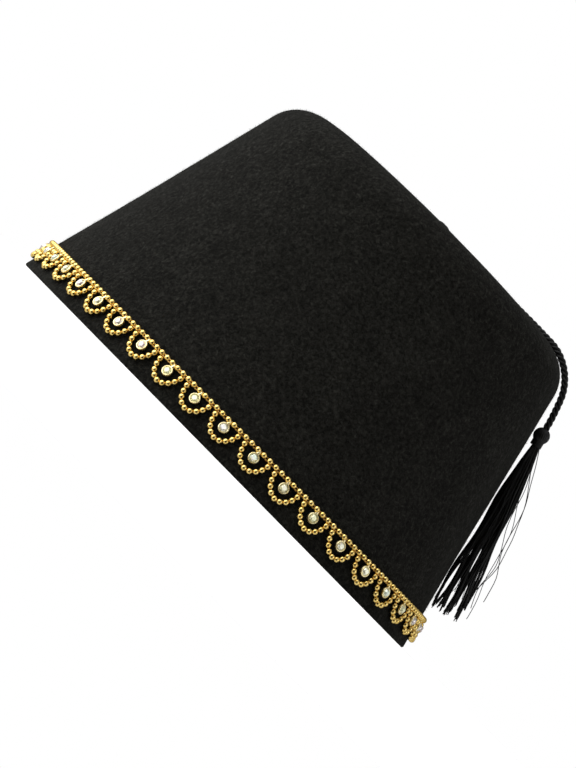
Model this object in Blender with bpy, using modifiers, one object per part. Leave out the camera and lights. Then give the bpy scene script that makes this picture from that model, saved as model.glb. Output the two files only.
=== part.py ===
"""A fez: one moulded felt crown, a scalloped trim of gold beads and stones, and a corded tassel.

Metres, +Z up. The hat stands on its mouth's cut edge at z = 0, with the origin at the middle of the
mouth, the wearer's face towards -Y and the wearer's left towards +X.
"""
import math
from functools import cache

import bmesh
import bpy
import numpy as np
from mathutils import Vector

# Felt crown, measured outside
MOUTH_LENGTH = 0.2030      # front to back at the cut edge
MOUTH_WIDTH = 0.1730       # side to side at the cut edge
TOP_LENGTH = 0.1375        # front to back where the straight side would meet the top
TOP_WIDTH = 0.1295         # side to side at the same place
CROWN_HEIGHT = 0.1100
SHOULDER_RADIUS = 0.0150
FELT_THICKNESS = 0.0022
CROWN_SIDES = 52
SHOULDER_STEPS = 5

# Bead trim
TRIM_GAP = 0.0003          # between the trim and the felt
TRIM_MARGIN = 0.0030       # from the mouth's edge up to the loops
HEADER_WIDTH = 0.0019      # of the header string's beads, and so of the string
LOOP_WIDTH = 0.0018        # of the loops' beads, and so of each loop
SCALLOPS = 42
HEADER_BEADS = 5           # of each scallop's share of the header string
LOOP_SPACINGS = 4          # header beads that a loop spans, from centre to centre
LOOP_DEPTH = 0.0078        # from the header string's middle to the loop's
LOOP_STEPS = 6
LOOP_END = 0.8             # width of a loop's end inside the header string, as a share of the loop's
STONE_DROP = 0.0032        # from the header string's middle to the stone's
CUP_WIDTH = 0.0039
CUP_HEIGHT = 0.0018
STONE_WIDTH = 0.0029
STONE_RISE = 0.0006        # from the cup's lip to the table
TABLE_WIDTH = 0.0017
STONE_SIDES = 8
STUB_FOOT = 0.0016         # width of the stub where it leaves the cup
STUB_WIDTH = 0.0012        # and where it enters the header string
HEADER_HEIGHT = TRIM_MARGIN + LOOP_WIDTH / 2 + LOOP_DEPTH

# Knot, cord and tassel
TASSEL_AZIMUTH = math.radians(-48)
SEAT_GAP = 0.0003          # between pieces that touch
KNOT_WIDTH = 0.0100
KNOT_HEIGHT = 0.0042
KNOT_SIDES = 16
CORD_WIDTH = 0.0026
CORD_POINTS = 22
TIP_CLEARANCE = 0.0040     # from the longest tip to the header string, which sets the cord's length
TASSEL_HEAD = 0.0060
TASSEL_NECK = 0.0040
NECK_DROP = 0.0060         # from the head's top to the neck's middle
NECK_SQUASH = 0.8
BALL_SIDES = 10
BALL_ROWS = 8
TASSEL_LENGTH = 0.0740     # from the head's top to the longest tip
TASSEL_SPREAD = 0.0170     # of the tips, sideways
TASSEL_DEPTH = 0.0130      # of the tips, out from the felt
LOCK_WIDTH = 0.0042
LOCK_TAPER = (0.5, 0.75, 0.95, 1.0, 0.6)   # shares of the lock's width, from its root to its tip
LOCK_FAN = 0.8             # power of the way down that the locks spread with

# The knot's outline from the top down: shares of half its width and of its height
KNOT_OUTLINE = ((0.0, 1.0), (0.55, 0.94), (0.9, 0.7), (1.0, 0.4), (0.88, 0.0), (0.0, 0.0))

# The cord's route over the felt: share of its length, sideways wander as a share of its length, and lift
# as a share of the way from lying on the felt to the middle of the tassel's head
CORD_ROUTE = (
    (0.00, 0.000, 0.0),
    (0.22, 0.022, 0.0),
    (0.50, -0.016, 0.0),
    (0.76, 0.010, 0.0),
    (1.00, 0.000, 1.0),
)

# The tassel's locks: sideways and outward place of the tip, as shares of the spread and the depth, and
# length as a share of the tassel's
LOCKS = (
    (-0.50, 0.30, 0.93),
    (-0.36, 0.72, 0.97),
    (-0.26, 0.10, 0.98),
    (-0.10, 1.00, 0.96),
    (-0.04, 0.46, 1.00),
    (0.10, 0.05, 0.97),
    (0.20, 0.86, 0.99),
    (0.28, 0.36, 0.95),
    (0.42, 0.66, 0.98),
    (0.50, 0.16, 0.94),
)

BLACK_FELT = ((0.012, 0.012, 0.011), 0.95, 0.0)
BLACK_CORD = ((0.010, 0.010, 0.010), 0.55, 0.0)
YELLOW_GOLD = ((0.83, 0.56, 0.16), 0.28, 1.0)


def clear_scene():
    for item in list(bpy.data.objects):
        bpy.data.objects.remove(item, do_unlink=True)


def new_collection(name):
    collection = bpy.data.collections.new(name)
    bpy.context.scene.collection.children.link(collection)
    return collection


def material(name, look):
    colour, roughness, metallic = look
    made = bpy.data.materials.new(name)
    made.use_nodes = True
    shader = made.node_tree.nodes["Principled BSDF"]
    shader.inputs["Base Color"].default_value = (*colour, 1.0)
    shader.inputs["Roughness"].default_value = roughness
    shader.inputs["Metallic"].default_value = metallic
    return made


# Shape of the felt

def oval_radius(width, length, azimuth):
    return 1 / math.hypot(math.cos(azimuth) / (width / 2), math.sin(azimuth) / (length / 2))


def crown_section(azimuth, inset):
    """(radius, height) pairs of the crown's half-section, from the mouth up to the flat top."""
    foot = oval_radius(MOUTH_WIDTH, MOUTH_LENGTH, azimuth)
    top = oval_radius(TOP_WIDTH, TOP_LENGTH, azimuth)
    lean = math.atan2(foot - top, CROWN_HEIGHT)
    bend = SHOULDER_RADIUS - inset
    bend_height = CROWN_HEIGHT - SHOULDER_RADIUS
    foot -= inset / math.cos(lean)
    bend_radius = foot - bend_height * math.tan(lean) - bend / math.cos(lean)
    section = [(foot, 0.0)]
    for step in range(SHOULDER_STEPS + 1):
        angle = lean + (math.pi / 2 - lean) * step / SHOULDER_STEPS
        section.append((bend_radius + bend * math.cos(angle), bend_height + bend * math.sin(angle)))
    return section


def side_point(azimuth, height):
    """Point on the straight part of the crown's outer side."""
    foot = oval_radius(MOUTH_WIDTH, MOUTH_LENGTH, azimuth)
    top = oval_radius(TOP_WIDTH, TOP_LENGTH, azimuth)
    radius = foot + (top - foot) * height / CROWN_HEIGHT
    return Vector((radius * math.cos(azimuth), radius * math.sin(azimuth), height))


def side_axes(azimuth, height):
    """Unit vectors along the mouth, up the slope and out of the felt, at a point on the side."""
    nudge = 0.001
    along = (side_point(azimuth + nudge, height) - side_point(azimuth - nudge, height)).normalized()
    up = (side_point(azimuth, height + nudge) - side_point(azimuth, height - nudge)).normalized()
    return along, up, along.cross(up).normalized()


@cache
def felt_ways():
    """Ways from the middle of the top down the tassel's side, with the radius and height at each."""
    radii, heights = zip(*reversed(crown_section(TASSEL_AZIMUTH, 0.0)), strict=True)
    radii = np.array((0.0, *radii))
    heights = np.array((CROWN_HEIGHT, *heights))
    ways = np.concatenate(([0.0], np.cumsum(np.hypot(np.diff(radii), np.diff(heights)))))
    return ways, radii, heights


def felt_place(way, aside, lift):
    """Point over the felt, a way out from the middle of the top down the tassel's side."""
    ways, radii, heights = felt_ways()
    nudge = 0.0005
    around = (way - nudge, way, way + nudge)
    before, radius, after = np.interp(around, ways, radii)
    above, height, below = np.interp(around, ways, heights)
    run = math.hypot(after - before, below - above)
    radius += lift * (above - below) / run
    height += lift * (after - before) / run
    outward = Vector((math.cos(TASSEL_AZIMUTH), math.sin(TASSEL_AZIMUTH), 0.0))
    sideways = Vector((-outward.y, outward.x, 0.0))
    return outward * radius + sideways * aside + Vector((0.0, 0.0, height))


def head_way():
    """Way to the top of the tassel's head that lets the longest tip end above the header string."""
    up = side_axes(TASSEL_AZIMUTH, HEADER_HEIGHT)[1]
    header_way = felt_ways()[0][-1] - HEADER_HEIGHT / up.z - HEADER_WIDTH / 2
    return header_way - TIP_CLEARANCE - TASSEL_LENGTH


# Ways of making meshes

def mesh_object(name, mesh, look, collection):
    made = bpy.data.objects.new(name, mesh)
    mesh.materials.append(look)
    collection.objects.link(made)
    return made


def loft(bodies):
    """Mesh with one closed body for each list of rings: neighbouring rings joined, both ends capped."""
    build = bmesh.new()
    for rings in bodies:
        rows = [[build.verts.new(point) for point in ring] for ring in rings]
        for lower, upper in zip(rows, rows[1:]):
            for place in range(len(lower)):
                after = (place + 1) % len(lower)
                build.faces.new((lower[place], lower[after], upper[after], upper[place]))
        build.faces.new(reversed(rows[0]))
        build.faces.new(rows[-1])
    return finished_mesh(build)


def finished_mesh(build):
    bmesh.ops.remove_doubles(build, verts=build.verts, dist=0.000001)
    bmesh.ops.recalc_face_normals(build, faces=build.faces)
    mesh = bpy.data.meshes.new("mesh")
    build.to_mesh(mesh)
    build.free()
    mesh.shade_smooth()
    mesh.set_sharp_from_angle(angle=math.radians(35))
    return mesh


def tube_curve(name, paths, width, resolution, closed=False, widths=None):
    """Curve object with one round tube along each path; widths are shares of the width, point by point."""
    curve = bpy.data.curves.new(name, "CURVE")
    curve.dimensions = "3D"
    curve.bevel_depth = width / 2
    curve.bevel_resolution = resolution
    curve.use_fill_caps = True
    for path in paths:
        spline = curve.splines.new("POLY")
        spline.points.add(len(path) - 1)
        spline.use_cyclic_u = closed
        for place, point in enumerate(path):
            spline.points[place].co = (*point, 1.0)
            spline.points[place].radius = widths[place] if widths else 1.0
    made = bpy.data.objects.new(name, curve)
    bpy.context.scene.collection.objects.link(made)
    return made


def tube_mesh(name, paths, width, resolution, closed=False, widths=None):
    """The same tubes as a mesh, with their caps welded on."""
    guide = tube_curve(name, paths, width, resolution, closed, widths)
    evaluated = guide.evaluated_get(bpy.context.evaluated_depsgraph_get())
    loose = bpy.data.meshes.new_from_object(evaluated)
    build = bmesh.new()
    build.from_mesh(loose)
    bpy.data.objects.remove(guide, do_unlink=True)
    return finished_mesh(build)


def fuse(base, pieces, name):
    """Union of the base object with the pieces, which stay as hidden wire guides."""
    guides = new_collection(name)
    for piece in pieces:
        for owner in list(piece.users_collection):
            owner.objects.unlink(piece)
        guides.objects.link(piece)
        piece.hide_render = True
        piece.display_type = "WIRE"
    union = base.modifiers.new("fuse", "BOOLEAN")
    union.operation = "UNION"
    union.solver = "EXACT"
    union.operand_type = "COLLECTION"
    union.collection = guides


# Sub-parts

def make_felt_crown(collection, felt):
    """A loft from the inner top down to the mouth, over its cut edge and up the outside."""
    azimuths = [math.tau * side / CROWN_SIDES for side in range(CROWN_SIDES)]
    inner = [crown_section(azimuth, FELT_THICKNESS) for azimuth in azimuths]
    outer = [crown_section(azimuth, 0.0) for azimuth in azimuths]
    rings = []
    for sections, order in ((inner, range(SHOULDER_STEPS + 1, -1, -1)), (outer, range(SHOULDER_STEPS + 2))):
        for row in order:
            ring = []
            for azimuth, section in zip(azimuths, sections, strict=True):
                radius, height = section[row]
                ring.append((radius * math.cos(azimuth), radius * math.sin(azimuth), height))
            rings.append(ring)
    mesh_object("felt_crown", loft([rings]), felt, collection)


@cache
def header_shares():
    """Shares of the way round the header string, with the azimuth at each."""
    azimuths = np.linspace(0.0, math.tau, 721)
    places = np.array([side_point(azimuth, HEADER_HEIGHT) for azimuth in azimuths])
    lengths = np.concatenate(([0.0], np.cumsum(np.linalg.norm(np.diff(places, axis=0), axis=1))))
    return lengths / lengths[-1], azimuths


def header_azimuth(share):
    return float(np.interp(share % 1.0, *header_shares()))


def trim_place(share, drop, lift):
    """Point over the side: a share of the way round, a drop below the header string, a lift off the felt."""
    azimuth = header_azimuth(share)
    _, up, out = side_axes(azimuth, HEADER_HEIGHT)
    return side_point(azimuth, HEADER_HEIGHT - drop * up.z) + out * lift


def stone_rings(share):
    """Rings of one cup with its stone: back, lip, girdle and table."""
    along, up, out = side_axes(header_azimuth(share), HEADER_HEIGHT)
    middle = trim_place(share, STONE_DROP, TRIM_GAP)
    table_lift = CUP_HEIGHT + STONE_RISE
    rows = ((CUP_WIDTH, 0.0), (CUP_WIDTH, CUP_HEIGHT), (STONE_WIDTH, CUP_HEIGHT), (TABLE_WIDTH, table_lift))
    rings = []
    for width, lift in rows:
        ring = []
        for side in range(STONE_SIDES):
            angle = math.tau * (side + 0.5) / STONE_SIDES
            turn = along * math.cos(angle) + up * math.sin(angle)
            ring.append(middle + turn * (width / 2) + out * lift)
        rings.append(ring)
    return rings


def stub_rings(share):
    """Rings of the tapered stub from inside the cup up into the header string."""
    along, _, out = side_axes(header_azimuth(share), HEADER_HEIGHT)
    rings = []
    for drop, width in ((STONE_DROP - CUP_WIDTH / 4, STUB_FOOT), (HEADER_WIDTH / 4, STUB_WIDTH)):
        middle = trim_place(share, drop, TRIM_GAP + CUP_HEIGHT / 2)
        corners = ((-1, -1), (1, -1), (1, 1), (-1, 1))
        rings.append([middle + along * (width / 2 * x) + out * (width / 2 * y) for x, y in corners])
    return rings


def loop_path(share):
    """Half an ellipse that hangs from the header string, centred on the share of the way round."""
    half_span = LOOP_SPACINGS / 2 / (SCALLOPS * HEADER_BEADS)
    path = []
    for step in range(LOOP_STEPS + 1):
        angle = math.pi * step / LOOP_STEPS
        place = share - half_span * math.cos(angle)
        path.append(trim_place(place, LOOP_DEPTH * math.sin(angle), TRIM_GAP + HEADER_WIDTH / 2))
    return path


def make_bead_trim(collection, gold):
    shares = [scallop / SCALLOPS for scallop in range(SCALLOPS)]
    steps = 2 * SCALLOPS
    header = [trim_place((step + 0.5) / steps, 0.0, TRIM_GAP + HEADER_WIDTH / 2) for step in range(steps)]
    loops = [loop_path(share) for share in shares]
    loop_widths = [LOOP_END] + [1.0] * (LOOP_STEPS - 1) + [LOOP_END]
    header_mesh = tube_mesh("trim_header", [header], HEADER_WIDTH, 1, closed=True)
    trim = mesh_object("bead_trim", header_mesh, gold, collection)
    pieces = (
        ("trim_loops", tube_mesh("trim_loops", loops, LOOP_WIDTH, 1, widths=loop_widths)),
        ("trim_stubs", loft([stub_rings(share) for share in shares])),
        ("trim_stones", loft([stone_rings(share) for share in shares])),
    )
    fuse(trim, [mesh_object(name, mesh, gold, collection) for name, mesh in pieces], "trim guides")


def make_top_knot(collection, cord):
    """A low turned knot on the middle of the top."""
    build = bmesh.new()
    points = [build.verts.new((out * KNOT_WIDTH / 2, 0.0, up * KNOT_HEIGHT)) for out, up in KNOT_OUTLINE]
    for upper, lower in zip(points, points[1:]):
        build.edges.new((upper, lower))
    mesh = bpy.data.meshes.new("top_knot")
    build.to_mesh(mesh)
    build.free()
    knot = mesh_object("top_knot", mesh, cord, collection)
    knot.location = (0.0, 0.0, CROWN_HEIGHT + SEAT_GAP)
    turn = knot.modifiers.new("turn", "SCREW")
    turn.steps = KNOT_SIDES
    turn.render_steps = KNOT_SIDES
    turn.use_merge_vertices = True
    turn.merge_threshold = 0.00001


def cord_path():
    """Points along the cord's middle, from the knot over the shoulder to the tassel's head."""
    shares, wander, lifts = zip(*CORD_ROUTE, strict=True)
    start = KNOT_WIDTH / 2 + SEAT_GAP
    length = head_way() - SEAT_GAP - start
    path = []
    for point in range(CORD_POINTS):
        share = point / (CORD_POINTS - 1)
        rise = (TASSEL_HEAD - CORD_WIDTH) / 2 * smooth_value(shares, lifts, share)
        aside = length * smooth_value(shares, wander, share)
        path.append(felt_place(start + share * length, aside, SEAT_GAP + CORD_WIDTH / 2 + rise))
    return path


def smooth_value(places, values, place):
    """Value at a place on the smooth curve through the given values, level at both ends."""
    slopes = [0.0] * len(places)
    for row in range(1, len(places) - 1):
        slopes[row] = (values[row + 1] - values[row - 1]) / (places[row + 1] - places[row - 1])
    row = min(int(np.searchsorted(places, place, side="right")) - 1, len(places) - 2)
    run = places[row + 1] - places[row]
    part = (place - places[row]) / run
    left = 1 - part
    from_start = left ** 2 * (values[row] * (1 + 2 * part) + slopes[row] * run * part)
    from_end = part ** 2 * (values[row + 1] * (1 + 2 * left) - slopes[row + 1] * run * left)
    return from_start + from_end


def make_tassel_cord(collection, cord):
    made = tube_curve("tassel_cord", [cord_path()], CORD_WIDTH, 2)
    made.data.materials.append(cord)
    bpy.context.scene.collection.objects.unlink(made)
    collection.objects.link(made)


def tassel_place(down, aside, lift):
    """Point of the tassel: down from its head's top, sideways, and out from the felt."""
    return felt_place(head_way() + down, aside, SEAT_GAP + lift)


def ball(middle, width, axis, squash=1.0):
    """Closed ball, squashed along its axis."""
    build = bmesh.new()
    bmesh.ops.create_uvsphere(build, u_segments=BALL_SIDES, v_segments=BALL_ROWS, radius=width / 2)
    turn = Vector((0.0, 0.0, 1.0)).rotation_difference(axis)
    for vert in build.verts:
        vert.co.z *= squash
        vert.co.rotate(turn)
        vert.co += middle
    return finished_mesh(build)


def lock_path(aside, lift, length):
    """Middle of one lock, from inside the head down to its tip."""
    start, end = NECK_DROP / 2, length * TASSEL_LENGTH
    tip_lift = LOCK_WIDTH / 2 + lift * (TASSEL_DEPTH - LOCK_WIDTH)
    steps = len(LOCK_TAPER) - 1
    path = []
    for step in range(steps + 1):
        share = step / steps
        spread = share ** LOCK_FAN
        down = start + share * (end - start)
        out = TASSEL_HEAD / 2 + (tip_lift - TASSEL_HEAD / 2) * spread
        path.append(tassel_place(down, aside * (TASSEL_SPREAD - LOCK_WIDTH) * spread, out))
    return path


def make_tassel(collection, cord):
    head_middle = tassel_place(TASSEL_HEAD / 2, 0.0, TASSEL_HEAD / 2)
    neck_middle = tassel_place(NECK_DROP, 0.0, TASSEL_HEAD / 2)
    down = (neck_middle - head_middle).normalized()
    tassel = mesh_object("tassel", ball(head_middle, TASSEL_HEAD, down), cord, collection)
    neck = ball(neck_middle, TASSEL_NECK, down, NECK_SQUASH)
    pieces = [mesh_object("tassel_neck", neck, cord, collection)]
    for number, row in enumerate(LOCKS):
        name = f"tassel_lock_{number}"
        lock = tube_mesh(name, [lock_path(*row)], LOCK_WIDTH, 1, widths=LOCK_TAPER)
        pieces.append(mesh_object(name, lock, cord, collection))
    fuse(tassel, pieces, "tassel guides")


def main():
    clear_scene()
    collection = new_collection("fez hat")
    felt = material("black felt", BLACK_FELT)
    cord = material("black cord", BLACK_CORD)
    gold = material("yellow gold", YELLOW_GOLD)
    make_felt_crown(collection, felt)
    make_bead_trim(collection, gold)
    make_top_knot(collection, cord)
    make_tassel_cord(collection, cord)
    make_tassel(collection, cord)


main()
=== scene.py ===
"""The dressed fez: fine felt with its fuzz, strung gold beads with cups and cut stones, and a corded tassel.

Metres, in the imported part's own frame: the hat stands on its mouth, with the wearer's face towards -Y.
"""

import math
from functools import cache

import bmesh
import bpy
import numpy as np
from mathutils import Matrix, Vector, noise


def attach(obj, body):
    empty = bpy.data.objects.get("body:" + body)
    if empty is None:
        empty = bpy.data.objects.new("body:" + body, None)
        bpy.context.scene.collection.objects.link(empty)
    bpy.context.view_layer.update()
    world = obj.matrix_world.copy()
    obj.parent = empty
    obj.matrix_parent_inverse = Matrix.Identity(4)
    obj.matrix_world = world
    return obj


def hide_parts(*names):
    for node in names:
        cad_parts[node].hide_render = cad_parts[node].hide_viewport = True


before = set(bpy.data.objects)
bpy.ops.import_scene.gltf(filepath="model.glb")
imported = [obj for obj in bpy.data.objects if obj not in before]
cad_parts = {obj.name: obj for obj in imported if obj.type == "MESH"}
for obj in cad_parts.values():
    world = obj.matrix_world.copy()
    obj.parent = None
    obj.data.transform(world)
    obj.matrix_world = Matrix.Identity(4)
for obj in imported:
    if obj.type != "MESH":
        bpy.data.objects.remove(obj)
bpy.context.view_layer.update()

BODY = "root"

# Sizes that the part's source has too
MOUTH_LENGTH = 0.2030
MOUTH_WIDTH = 0.1730
TOP_LENGTH = 0.1375
TOP_WIDTH = 0.1295
CROWN_HEIGHT = 0.1100
SHOULDER_RADIUS = 0.0150
FELT_THICKNESS = 0.0022
TRIM_GAP = 0.0003
TRIM_MARGIN = 0.0030
HEADER_WIDTH = 0.0019
LOOP_WIDTH = 0.0018
SCALLOPS = 42
HEADER_BEADS = 5
LOOP_SPACINGS = 4
LOOP_DEPTH = 0.0078
STONE_DROP = 0.0032
CUP_WIDTH = 0.0039
CUP_HEIGHT = 0.0018
STONE_WIDTH = 0.0029
STONE_RISE = 0.0006
TABLE_WIDTH = 0.0017
STUB_FOOT = 0.0016
STUB_WIDTH = 0.0012
HEADER_HEIGHT = TRIM_MARGIN + LOOP_WIDTH / 2 + LOOP_DEPTH
TASSEL_AZIMUTH = math.radians(-48)
SEAT_GAP = 0.0003
KNOT_WIDTH = 0.0100
KNOT_HEIGHT = 0.0042
CORD_WIDTH = 0.0026
TIP_CLEARANCE = 0.0040
TASSEL_HEAD = 0.0060
TASSEL_NECK = 0.0040
NECK_DROP = 0.0060
TASSEL_LENGTH = 0.0740
TASSEL_DEPTH = 0.0130
# Share of the cord's length, its wander aside there, and its lift towards the middle of the tassel's head
CORD_ROUTE = (
    (0.00, 0.000, 0.0),
    (0.22, 0.022, 0.0),
    (0.50, -0.016, 0.0),
    (0.76, 0.010, 0.0),
    (1.00, 0.000, 1.0),
)

# Felt
FELT_SIDES = 256
EDGE_ROUND = 0.0007        # of the cut edge's corners
EDGE_STEPS = 4
SIDE_ROWS = 34
SHOULDER_ROWS = 12
TOP_ROWS = 14
FELT_WAVE = 0.00035        # how far the hand-blocked felt dips
FUZZ_START = HEADER_HEIGHT + 0.0030
FIBRE_LENGTH = 0.0011
FIBRE_WIDTH = 0.00004
FIBRES_PER_AREA = 820000   # of each square metre of the outside

# Trim
BEAD_SIDES = 14
BEAD_ROWS = 8
LOOP_BEADS = 9
HEADER_BEAD = 0.00225      # real beads bulge a little past the plain string of the solids
LOOP_BEAD = 0.0022
WIRE_WIDTH = 0.00045
RAIL_WIDTH = 0.00036
RAIL_DROPS = (-0.00030, 0.00064)   # from the header beads' middle to the two thin rails
RAIL_STEPS = 420
RUNG_WIDTH = 0.00066
RUNG_SIDES = 10
RUNG_ROWS = 5
LOOP_STEPS = 36
LOOP_INSET = 0.092         # share of each loop's string before its first bead
CUP_SIDES = 24
STONE_SIDES = 8

# Cord, knot and tassel
CORD_PLIES = 3
PLY_WIDTH = CORD_WIDTH / (1 + 2 / math.sqrt(3))
CORD_PITCH = 0.0062
CORD_STEPS = 200
CORD_TUCK = 0.014          # share of its length that each end runs on inside the knot and the head
CLUMP_SHEETS = 7           # sheets of clumps, one out over the other
CLUMPS_PER_SHEET = 3
SHEET_SPACING = 0.00178
CLUMP_SPACING = 0.0056
STRANDS_PER_CLUMP = 22
CLUMP_SHARES = (0.0, 0.12, 0.35, 0.5, 0.65, 0.9, 1.0)
CLUMP_HALVES = (0.0010, 0.0014, 0.0012, 0.0006, 0.0003, 0.00028, 0.0005)   # half a clump's width there
STRAND_STEPS = 30
STRAND_WIDTH = 0.00032
STRAY_WIDTH = 0.00028
# Each stray's place aside and lift at its tip, its length, bulge, lean, wave and phase
STRAYS = (
    (0.0080, 0.0128, 0.97, 0.0036, 0.0020, 0.0008, 1.9),
    (-0.0040, 0.0160, 0.90, 0.0012, 0.0005, 0.0010, 2.9),
    (-0.0100, 0.0050, 0.96, 0.0010, -0.0030, 0.0008, 4.0),
    (-0.0120, 0.0090, 0.88, 0.0, 0.0012, 0.0010, 1.1),
    (0.0020, 0.0108, 0.99, 0.0064, -0.0010, 0.0006, 4.6),
    (0.0060, 0.0145, 0.94, 0.0004, 0.0010, 0.0014, 5.1),
    (0.0118, 0.0040, 0.92, 0.0010, 0.0016, 0.0010, 0.9),
)

# The photo's view: where the camera stands, and where the hat's middle falls on its 576 by 768 picture
PICTURE = (576, 768)
CAMERA_AZIMUTH = math.radians(-43)
CAMERA_DISTANCE = 1.504
CAMERA_HEIGHT = 0.020
CAMERA_ROLL = math.radians(45.5)
CAMERA_LENS = 202
CAMERA_SENSOR = 36
HAT_PIXEL = (324.1, 343.8)


# Node trees

def pick(sockets, label):
    """The socket in use that has the name, or the one at the place."""
    if isinstance(label, int):
        return sockets[label]
    return next(item for item in sockets if item.enabled and item.name == label)


def feed(tree, made, inputs):
    """Links the node's named inputs, or gives them values."""
    for label, value in inputs.items():
        target = pick(made.inputs, label)
        if isinstance(value, bpy.types.Node):
            value = next(item for item in value.outputs if item.enabled)
        if isinstance(value, bpy.types.NodeSocket):
            tree.links.new(value, target)
        else:
            target.default_value = value


def node(tree, kind, inputs=None, **settings):
    """New node with its settings made and its inputs fed."""
    made = tree.nodes.new(kind)
    for label, value in settings.items():
        setattr(made, label, value)
    feed(tree, made, inputs or {})
    return made


def maths(tree, operation, first, second):
    return node(tree, "ShaderNodeMath", {0: first, 1: second}, operation=operation)


def vector_maths(tree, operation, first, second):
    """Two vectors worked together, or a vector scaled by a value."""
    label = "Scale" if operation == "SCALE" else 1
    return node(tree, "ShaderNodeVectorMath", {0: first, label: second}, operation=operation)


def remap(tree, value, before, after):
    """The value carried from one (low, high) range to another."""
    ends = dict(zip(("From Min", "From Max", "To Min", "To Max"), (*before, *after), strict=True))
    return node(tree, "ShaderNodeMapRange", {"Value": value, **ends})


def named(tree, label, kind="FLOAT_VECTOR"):
    """The guide's attribute of that name."""
    return node(tree, "GeometryNodeInputNamedAttribute", {"Name": label}, data_type=kind)


def store(tree, geometry, label, value, kind="FLOAT", domain="POINT"):
    """The geometry with a value kept under the name."""
    inputs = {"Geometry": geometry, "Name": label, "Value": value}
    return node(tree, "GeometryNodeStoreNamedAttribute", inputs, data_type=kind, domain=domain)


def chance(tree, low, high, seed, **inputs):
    """Random value or vector."""
    kind = "FLOAT_VECTOR" if isinstance(low, tuple) else "FLOAT"
    return node(tree, "FunctionNodeRandomValue", {"Min": low, "Max": high, "Seed": seed, **inputs}, data_type=kind)


def geometry_tree(name, sizes):
    """New tree that takes a guide and the named sizes; returns it with what its start gives."""
    tree = bpy.data.node_groups.new(name, "GeometryNodeTree")
    tree.interface.new_socket("Geometry", in_out="OUTPUT", socket_type="NodeSocketGeometry")
    tree.interface.new_socket("Geometry", in_out="INPUT", socket_type="NodeSocketGeometry")
    for label, kind in sizes:
        tree.interface.new_socket(label, in_out="INPUT", socket_type=f"NodeSocket{kind}")
    return tree, tree.nodes.new("NodeGroupInput").outputs


def end_tree(tree, shapes, finish, smooth=True):
    """The tree's end: real meshes, shaded smooth or flat, in their finish."""
    real = node(tree, "GeometryNodeRealizeInstances", {"Geometry": shapes})
    shaded = node(tree, "GeometryNodeSetShadeSmooth", {"Geometry": real, "Shade Smooth": smooth})
    dressed = node(tree, "GeometryNodeSetMaterial", {"Geometry": shaded, "Material": finish})
    tree.links.new(dressed.outputs[0], tree.nodes.new("NodeGroupOutput").inputs[0])


def grow(name, guide, tree, sizes, finish):
    """Plain mesh object that the tree makes from the guide, which is removed."""
    modifier = guide.modifiers.new(tree.name, "NODES")
    modifier.node_group = tree
    sockets = {item.name: item.identifier for item in tree.interface.items_tree if item.in_out == "INPUT"}
    for label, value in sizes.items():
        modifier[sockets[label]] = value
    bpy.context.view_layer.update()
    evaluated = guide.evaluated_get(bpy.context.evaluated_depsgraph_get())
    mesh = bpy.data.meshes.new_from_object(evaluated)
    bpy.data.objects.remove(guide, do_unlink=True)
    return mesh_object(name, mesh, finish)


def mesh_object(name, mesh, finish=None):
    made = bpy.data.objects.new(name, mesh)
    bpy.context.scene.collection.objects.link(made)
    if finish:
        mesh.materials.clear()
        mesh.materials.append(finish)
    return made


def guide_object(name, paths, closed=False, vectors=None, values=None):
    """Object of bare edges along the paths, with named vectors and values at its points."""
    points, edges = [], []
    for path in paths:
        first = len(points)
        points.extend(tuple(point) for point in path)
        edges.extend((place, place + 1) for place in range(first, len(points) - 1))
        if closed:
            edges.append((len(points) - 1, first))
    mesh = bpy.data.meshes.new(name)
    mesh.from_pydata(points, edges, [])
    for table, kind, field in ((vectors, "FLOAT_VECTOR", "vector"), (values, "FLOAT", "value")):
        for label, rows in (table or {}).items():
            flat = np.array(rows, np.float32).ravel()
            mesh.attributes.new(label, kind, "POINT").data.foreach_set(field, flat)
    return mesh_object(name, mesh)


def grow_threads(name, paths, tree, width, sides, finish, closed=False):
    """Piece of round threads along the paths."""
    guide = guide_object(f"{name}_guide", paths, closed)
    return grow(name, guide, tree, {"Thread width": width, "Thread sides": sides}, finish)


def polar(radius, azimuth, height):
    return radius * math.cos(azimuth), radius * math.sin(azimuth), height


def join_rings(build, rings, sides):
    """Faces from ring to ring; a ring of one vertex closes to a point."""
    for lower, upper in zip(rings, rings[1:]):
        for side in range(sides):
            after = (side + 1) % sides
            corners = (
                lower[side % len(lower)], lower[after % len(lower)],
                upper[after % len(upper)], upper[side % len(upper)],
            )
            build.faces.new(list(dict.fromkeys(corners)))


def dress(piece, slot, *nodes):
    """Hands the finished piece to the frame: the body that carries it, and the parts it stands for, which are hidden.
    The slot is not used.
    """
    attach(piece, BODY)
    if nodes:
        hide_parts(*nodes)


# Finishes

def finish_tree(name, shader_values):
    """New material, with its tree, its shader and its object coordinates."""
    made = bpy.data.materials.new(name)
    made.use_nodes = True
    tree = made.node_tree
    shader = tree.nodes["Principled BSDF"]
    feed(tree, shader, shader_values)
    place = node(tree, "ShaderNodeTexCoord").outputs["Object"]
    return made, tree, shader, place


def ramp(tree, value, stops):
    """Colour ramp over the value, with (place, colour) stops."""
    made = node(tree, "ShaderNodeValToRGB", {"Fac": value})
    elements = made.color_ramp.elements
    while len(elements) < len(stops):
        elements.new(0.5)
    for element, (at, colour) in zip(elements, stops, strict=True):
        element.position = at
        element.color = (*colour, 1.0)
    return made


def grain(tree, place, scale, detail=4.0, roughness=0.6, distortion=0.0):
    """Noise value at the place."""
    values = {"Vector": place, "Scale": scale, "Detail": detail, "Roughness": roughness, "Distortion": distortion}
    return node(tree, "ShaderNodeTexNoise", values).outputs[0]


def blend_values(tree, first, second, share):
    """Mix of two values, with the share of the second."""
    return node(tree, "ShaderNodeMix", {"Factor": share, "A": first, "B": second}, data_type="FLOAT")


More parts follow.
